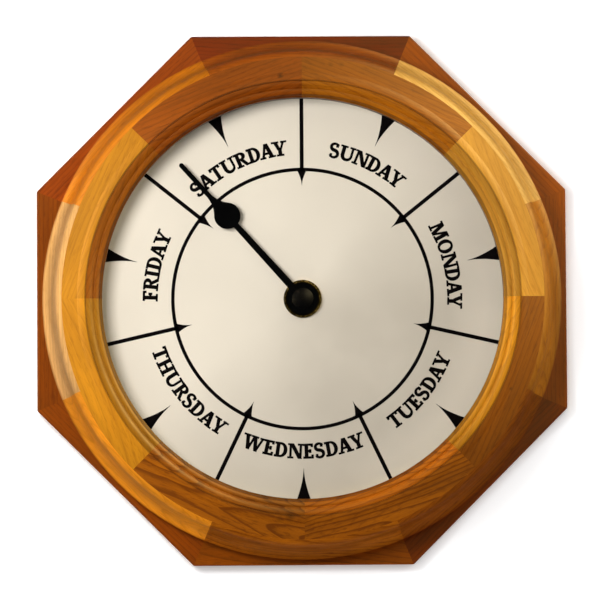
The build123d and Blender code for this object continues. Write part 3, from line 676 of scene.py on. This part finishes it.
def round_tree():
    """Geometry nodes that repeat a mark round an axis along Y, evenly and clockwise."""
    tree = bpy.data.node_groups.new("repeated_round_the_dial", "GeometryNodeTree")
    for label, kind in (("Mark", "Geometry"), ("Count", "Int"), ("First Turn", "Float"), ("Ink", "Material")):
        tree.interface.new_socket(label, in_out="INPUT", socket_type=f"NodeSocket{kind}")
    tree.interface.new_socket("Marks", in_out="OUTPUT", socket_type="NodeSocketGeometry")
    n = Nodes(tree)
    given = n.add("NodeGroupInput").outputs
    points = n.add("GeometryNodePoints", {"Count": given["Count"]}).outputs[0]
    index = n.add("GeometryNodeInputIndex").outputs[0]
    share = n.math("DIVIDE", n.math("ADD", index, given["First Turn"]), given["Count"])
    turn = n.add("ShaderNodeCombineXYZ", {"Y": n.math("MULTIPLY", share, 2 * pi)}).outputs[0]
    turn = n.add("FunctionNodeEulerToRotation", {0: turn}).outputs[0]
    copies = n.add("GeometryNodeInstanceOnPoints", {"Points": points, "Instance": given["Mark"]})
    n.put(copies.inputs["Rotation"], turn)
    joined = n.add("GeometryNodeRealizeInstances", {0: copies.outputs[0]}).outputs[0]
    inked = n.add("GeometryNodeSetMaterial", {"Geometry": joined, "Material": given["Ink"]}).outputs[0]
    n.put(n.add("NodeGroupOutput").inputs[0], inked)
    return tree


ROUND = round_tree()


def repeat_round(piece, count, first_turn):
    """Repeats a mark at the top of the dial, starting first_turn steps from the top."""
    modifier = piece.modifiers.new("round", "NODES")
    modifier.node_group = ROUND
    values = {"Count": count, "First Turn": first_turn, "Ink": INK}
    for item in ROUND.interface.items_tree:
        if item.in_out == "INPUT" and item.name in values:
            modifier[item.identifier] = values[item.name]
    shown = piece.evaluated_get(bpy.context.evaluated_depsgraph_get())
    whole = bpy.data.meshes.new_from_object(shown)
    piece.modifiers.remove(modifier)
    whole.name = piece.name
    piece.data = whole


def print_on_dial(piece):
    """Moves a print to the dial and lets it ride there."""
    piece.data.transform(Matrix.Translation(AXIS))
    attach(piece, "clock_body")


# Letters of the days, one unit high, made of bars, slabs and bowls

# Thick and thin strokes, and the serifs' thickness and reach
STEM = 0.245
HAIR = 0.16
SERIF = 0.135
SERIF_REACH = 0.12


def bar(x_low, x_high, width, low=0.0, high=1.0):
    """A stroke with level ends, from x_low at the bottom to x_high at the top."""
    half = width / 2
    return [(x_low - half, low), (x_low + half, low), (x_high + half, high), (x_high - half, high)]


def box(x_low, x_high, low, high):
    """A slab."""
    return [(x_low, low), (x_high, low), (x_high, high), (x_low, high)]


def foot(x, width):
    """A serif under a stroke."""
    reach = width / 2 + SERIF_REACH
    return box(x - reach, x + reach, 0.0, SERIF)


def head(x, width):
    """A serif over a stroke."""
    reach = width / 2 + SERIF_REACH
    return box(x - reach, x + reach, 1.0 - SERIF, 1.0)


def bowl(x, y, outer, inner, start, end, steps=20):
    """Part of a ring between two ellipses, given by (half width, half height), from start to end degrees."""
    angles = [radians(start + (end - start) * k / steps) for k in range(steps + 1)]
    far = [(x + outer[0] * cos(a), y + outer[1] * sin(a)) for a in angles]
    near = [(x + inner[0] * cos(a), y + inner[1] * sin(a)) for a in reversed(angles)]
    return far + near


def ribbon(points, widths):
    """A stroke of changing width along a smooth line."""
    left, right = [], []
    for k, (x, y) in enumerate(points):
        before, after = points[max(k - 1, 0)], points[min(k + 1, len(points) - 1)]
        along = Vector((after[0] - before[0], after[1] - before[1])).normalized()
        side = Vector((-along.y, along.x)) * widths[k] / 2
        left.append((x + side.x, y + side.y))
        right.append((x - side.x, y - side.y))
    return right + left[::-1]


# Each letter is its width and its outlines


def letter_a():
    return 0.90, [
        bar(0.14, 0.42, HAIR * 1.1),
        bar(0.74, 0.45, STEM * 1.1),
        box(0.24, 0.66, 0.26, 0.26 + HAIR),
        foot(0.14, HAIR),
        foot(0.73, STEM),
    ]


def letter_d():
    return 0.88, [
        bar(0.24, 0.24, STEM),
        box(0.02, 0.44, 0, HAIR),
        box(0.02, 0.44, 1 - HAIR, 1),
        bowl(0.40, 0.5, (0.45, 0.5), (0.45 - STEM, 0.5 - HAIR), -90, 90),
    ]


def letter_e():
    return 0.74, [
        bar(0.24, 0.24, STEM),
        box(0.02, 0.70, 0, HAIR),
        box(0.02, 0.67, 1 - HAIR, 1),
        box(0.24, 0.54, 0.5 - HAIR / 2, 0.5 + HAIR / 2),
        box(0.70 - HAIR, 0.70, 0, 0.27),
        box(0.67 - HAIR, 0.67, 0.75, 1),
        box(0.56 - HAIR, 0.56, 0.37, 0.63),
    ]


def letter_f():
    return 0.72, [
        bar(0.24, 0.24, STEM),
        foot(0.24, STEM),
        box(0.02, 0.68, 1 - HAIR, 1),
        box(0.24, 0.54, 0.5 - HAIR / 2, 0.5 + HAIR / 2),
        box(0.68 - HAIR, 0.68, 0.75, 1),
        box(0.56 - HAIR, 0.56, 0.37, 0.63),
    ]


def letter_h():
    outlines = [box(0.24, 0.76, 0.5 - HAIR / 2, 0.5 + HAIR / 2)]
    for x in (0.24, 0.76):
        outlines += [bar(x, x, STEM), foot(x, STEM), head(x, STEM)]
    return 1.0, outlines


def letter_i():
    return 0.48, [bar(0.24, 0.24, STEM), foot(0.24, STEM), head(0.24, STEM)]


def letter_m():
    return 1.18, [
        bar(0.17, 0.22, HAIR),
        bar(0.57, 0.28, STEM),
        bar(0.57, 0.86, HAIR),
        bar(0.96, 0.92, STEM),
        foot(0.17, HAIR),
        foot(0.96, STEM),
        box(0.03, 0.36, 1 - SERIF, 1),
        box(0.82, 1.14, 1 - SERIF, 1),
    ]


def letter_n():
    return 1.0, [
        bar(0.20, 0.20, HAIR),
        bar(0.82, 0.26, STEM * 1.15),
        bar(0.84, 0.84, HAIR),
        foot(0.20, HAIR),
        head(0.84, HAIR),
        box(0.02, 0.36, 1 - SERIF, 1),
    ]


def letter_o():
    outer, inner = (0.45, 0.515), (0.45 - STEM, 0.515 - HAIR)
    return 0.94, [
        bowl(0.47, 0.5, outer, inner, -92, 92),
        bowl(0.47, 0.5, outer, inner, 88, 272),
    ]


def letter_r():
    return 0.88, [
        bar(0.24, 0.24, STEM),
        foot(0.24, STEM),
        box(0.02, 0.44, 1 - HAIR, 1),
        box(0.24, 0.44, 0.44, 0.44 + HAIR),
        bowl(0.42, 0.72, (0.35, 0.28), (0.35 - STEM, 0.28 - HAIR), -90, 90),
        bar(0.74, 0.46, STEM, low=0.0, high=0.50),
        box(0.64, 0.90, 0, SERIF),
    ]


def letter_s():
    """A spine of two bowls, widest where it crosses the middle."""
    points, widths = [], []
    steps = 14
    for k in range(steps + 1):
        a = radians(20 + 250 * k / steps)
        points.append((0.35 + 0.235 * cos(a), 0.735 + 0.215 * sin(a)))
        widths.append(HAIR + (STEM - HAIR) * (k / steps) ** 1.5)
    for k in range(1, steps + 1):
        a = radians(90 - 250 * k / steps)
        points.append((0.35 + 0.25 * cos(a), 0.275 + 0.235 * sin(a)))
        widths.append(HAIR + (STEM - HAIR) * (1 - k / steps) ** 1.5)
    return 0.72, [
        ribbon(points, widths),
        box(0.57 - HAIR, 0.59, 0.72, 0.98),
        box(0.10, 0.10 + HAIR, 0.02, 0.28),
    ]


def letter_t():
    return 0.84, [
        bar(0.42, 0.42, STEM),
        foot(0.42, STEM),
        box(0.04, 0.80, 1 - HAIR, 1),
        box(0.04, 0.04 + HAIR, 0.75, 1),
        box(0.80 - HAIR, 0.80, 0.75, 1),
    ]


def letter_u():
    return 0.98, [
        bar(0.23, 0.23, STEM, low=0.30),
        bar(0.80, 0.80, HAIR, low=0.30),
        head(0.23, STEM),
        head(0.80, HAIR),
        bowl(0.4975, 0.32, (0.37, 0.335), (0.37 - STEM, 0.335 - HAIR * 1.3), 180, 272),
        bowl(0.4975, 0.32, (0.3675, 0.335), (0.3675 - HAIR, 0.335 - HAIR * 1.3), 268, 360),
    ]


def letter_w():
    return 1.36, [
        bar(0.42, 0.18, STEM),
        bar(0.42, 0.66, HAIR),
        bar(0.92, 0.68, STEM),
        bar(0.92, 1.20, HAIR),
        head(0.18, STEM),
        head(0.68, STEM),
        head(1.20, HAIR),
    ]


def letter_y():
    return 0.86, [
        bar(0.43, 0.43, STEM, high=0.46),
        bar(0.40, 0.15, STEM, low=0.40),
        bar(0.47, 0.72, HAIR, low=0.40),
        foot(0.43, STEM),
        head(0.16, STEM),
        head(0.72, HAIR),
    ]


LETTERS = {
    "A": letter_a(),
    "D": letter_d(),
    "E": letter_e(),
    "F": letter_f(),
    "H": letter_h(),
    "I": letter_i(),
    "M": letter_m(),
    "N": letter_n(),
    "O": letter_o(),
    "R": letter_r(),
    "S": letter_s(),
    "T": letter_t(),
    "U": letter_u(),
    "W": letter_w(),
    "Y": letter_y(),
}

# Height of the letters, what one unit of width is, the gap between letters and their middle's radius
CAP_HEIGHT = 7.6 * MM
LETTER_WIDTH = 7.85 * MM
LETTER_GAP = -0.22 * MM
NAME_RADIUS = 76.3 * MM


def day_name(word, clock_angle):
    """A day's name set round the dial, read from the nearer side."""
    widths = [LETTERS[c][0] * LETTER_WIDTH for c in word]
    whole = sum(widths) + LETTER_GAP * (len(word) - 1)
    lower_half = 90 < clock_angle < 270
    turn = -1 if lower_half else 1
    outlines = []
    along = -whole / 2
    for character, width in zip(word, widths):
        middle = along + width / 2
        along += width + LETTER_GAP
        angle = clock_angle + turn * middle / NAME_RADIUS * 180 / pi
        centre = polar(NAME_RADIUS, angle)
        up = centre.normalized() * turn
        right = Vector((up.y, -up.x))
        for outline in LETTERS[character][1]:
            placed = []
            for x, y in outline:
                offset = right * (x * LETTER_WIDTH - width / 2) + up * (y - 0.5) * CAP_HEIGHT
                placed.append(centre + offset)
            outlines.append(placed)
    return outlines


# Radii of the ring, the opening and the marks' tips, and widths of lines and marks
RING_RADIUS = 65.0 * MM
RING_LINE = 1.75 * MM
DAY_LINE = 1.95 * MM
OPENING = 100.6 * MM
SPIKE_TIP = 57.1 * MM
SPIKE_HALF = 2.3 * MM
DART_TIP = 85.0 * MM
DART_HALF = 3.5 * MM
# Half the width of a mark's tip, and how hollow its sides are
TIP_HALF = 0.08 * MM
HOLLOW = 1.7


def print_names():
    """The days' names, each at the middle of its day."""
    outlines = []
    for k, word in enumerate(DAYS):
        outlines += day_name(word, (k + 0.5) * DAY_ANGLE)
    print_on_dial(flat_print("day_names", outlines))


def print_ring():
    """The ring inside the names, in two halves that overlap."""
    outer = (RING_RADIUS + RING_LINE / 2,) * 2
    inner = (RING_RADIUS - RING_LINE / 2,) * 2
    halves = [bowl(0, 0, outer, inner, start, start + 182, steps=96) for start in (-1, 179)]
    print_on_dial(flat_print("day_ring", [[Vector(p) for p in half] for half in halves]))


def hollow_spike(base_radius, tip_radius, half_base, steps=8):
    """A mark at the top of the dial with hollow sides that narrows from its base to its tip."""
    left, right = [], []
    for k in range(steps + 1):
        share = k / steps
        half = half_base * (1 - share) ** HOLLOW + TIP_HALF
        radius = base_radius + (tip_radius - base_radius) * share
        left.append(Vector((half, radius)))
        right.append(Vector((-half, radius)))
    return right + left[::-1]


def print_day_lines():
    """A line between two days, with a spike where it ends at the ring."""
    half, inner = DAY_LINE / 2, RING_RADIUS - RING_LINE / 2
    line = [Vector(p) for p in ((-half, inner), (half, inner), (half, OPENING), (-half, OPENING))]
    spike = hollow_spike(RING_RADIUS - RING_LINE / 4, SPIKE_TIP, SPIKE_HALF)
    piece = flat_print("day_lines", [line, spike])
    repeat_round(piece, len(DAYS), 0.0)
    print_on_dial(piece)


def print_noon_marks():
    """A dart from the rim at the middle of each day."""
    piece = flat_print("noon_marks", [hollow_spike(OPENING, DART_TIP, DART_HALF)])
    repeat_round(piece, len(DAYS), 0.5)
    print_on_dial(piece)


print_names()
print_ring()
print_day_lines()
print_noon_marks()


# Wall, light and camera

WALL_SIZE = 8.0
WALL_GAP = 0.2 * MM
# How much whiter the wall is to the camera than under its light alone
WALL_LIFT = 0.6
# How near to the clock the wall stays dark
CONTACT_SHADE = 6 * MM


def wall():
    """White wall that keeps the clock's shadow and is clear from behind."""
    mesh = bpy.data.meshes.new("wall")
    half = WALL_SIZE / 2
    corners = [(-half, -half), (half, -half), (half, half), (-half, half)]
    mesh.from_pydata([(x, WALL_GAP, z) for x, z in corners], [], [(0, 1, 2, 3)])
    piece = bpy.data.objects.new("wall", mesh)
    bpy.context.collection.objects.link(piece)
    material, n, shader, place = new_material("wall_paint")
    shader.inputs["Base Color"].default_value = (0.9, 0.9, 0.9, 1)
    shader.inputs["Roughness"].default_value = 0.9
    shader.inputs["Specular IOR Level"].default_value = 0.0
    shader.inputs["Emission Color"].default_value = (1, 1, 1, 1)
    seen = n.add("ShaderNodeLightPath").outputs["Is Camera Ray"]
    contact = n.add("ShaderNodeAmbientOcclusion", {"Distance": CONTACT_SHADE}).outputs["AO"]
    lift = n.math("MULTIPLY", n.ramp(contact, 0.3, 1.0), WALL_LIFT)
    n.put(shader.inputs["Emission Strength"], n.math("MULTIPLY", seen, lift))
    clear_where(material, n, shader, n.add("ShaderNodeNewGeometry").outputs["Backfacing"])
    mesh.materials.append(material)
    piece.visible_glossy = False
    # The light behind the wall reaches the back of the clock
    piece.visible_shadow = False


# The lamps that make highlights are amber, as varnish mirrors them
WHITE_LIGHT = (1, 1, 1)
WARM_LIGHT = (1, 0.82, 0.42)


def softbox(name, place, width, height, power, highlights=False):
    """An area light that points at the clock's centre. It lights plain colour, or else only highlights."""
    light = bpy.data.lights.new(name, "AREA")
    light.shape = "RECTANGLE"
    light.size, light.size_y = width, height
    light.energy = power
    light.color = WARM_LIGHT if highlights else WHITE_LIGHT
    lamp = bpy.data.objects.new(name, light)
    bpy.context.collection.objects.link(lamp)
    lamp.location = AXIS + Vector(place)
    lamp.rotation_mode = "QUATERNION"
    lamp.rotation_quaternion = (AXIS - lamp.location).to_track_quat("-Z", "Y")
    lamp.visible_camera = False
    lamp.visible_diffuse = not highlights
    lamp.visible_glossy = highlights


def plain_world(strength, mirrored):
    """A white surround, bright to the camera, weak as a light and weaker still in polished surfaces."""
    world = bpy.data.worlds.new("studio")
    bpy.context.scene.world = world
    world.use_nodes = True
    n = Nodes(world.node_tree)
    back = world.node_tree.nodes["Background"]
    ray = n.add("ShaderNodeLightPath").outputs
    seen = n.math("MAXIMUM", ray["Is Camera Ray"], ray["Is Transmission Ray"])
    back.inputs["Color"].default_value = (1, 1, 1, 1)
    plain = n.ramp(ray["Is Glossy Ray"], 0.0, 1.0, strength, mirrored)
    n.put(back.inputs["Strength"], n.math("MAXIMUM", seen, plain))


# The photo's width and the camera's distance to its picture, both in pixels
PHOTO_PIXELS = 600
FOCAL_PIXELS = 3557


def camera():
    """Stands a little below and left of the clock and looks at the dial's centre."""
    distance, left, below, roll = 1.8, 38.9 * MM, 83.6 * MM, radians(-0.38)
    aim_left, aim_up = 0.9 * MM, 0.35 * MM
    data = bpy.data.cameras.new("camera")
    data.sensor_width = 36.0
    data.lens = FOCAL_PIXELS / PHOTO_PIXELS * data.sensor_width
    eye = bpy.data.objects.new("camera", data)
    bpy.context.collection.objects.link(eye)
    eye.location = AXIS + Vector((-left, -distance, -below))
    eye.rotation_mode = "QUATERNION"
    seen = AXIS + Vector((-aim_left, 0, aim_up))
    aim = (seen - eye.location).to_track_quat("-Z", "Y")
    eye.rotation_quaternion = aim @ Euler((0, 0, roll)).to_quaternion()
    bpy.context.scene.camera = eye


wall()
plain_world(strength=0.19, mirrored=0.03)
softbox("main_softbox", (-0.22, -0.44, 0.10), 0.2, 0.2, 1.95)
softbox("right_edge", (0.48, -0.12, 0.25), 0.1, 0.3, 1.1)
softbox("low_edge", (0.12, -0.12, -0.5), 0.3, 0.1, 0.7)
softbox("left_softbox", (-0.72, -0.44, 0.20), 0.6, 0.6, 20.0, highlights=True)
softbox("right_softbox", (0.58, -0.50, 0.49), 0.6, 0.6, 44.0, highlights=True)
softbox("back_light", (0.3, 1.6, 0.5), 1.2, 1.2, 13)
camera()
bpy.context.scene.view_settings.view_transform = "Standard"
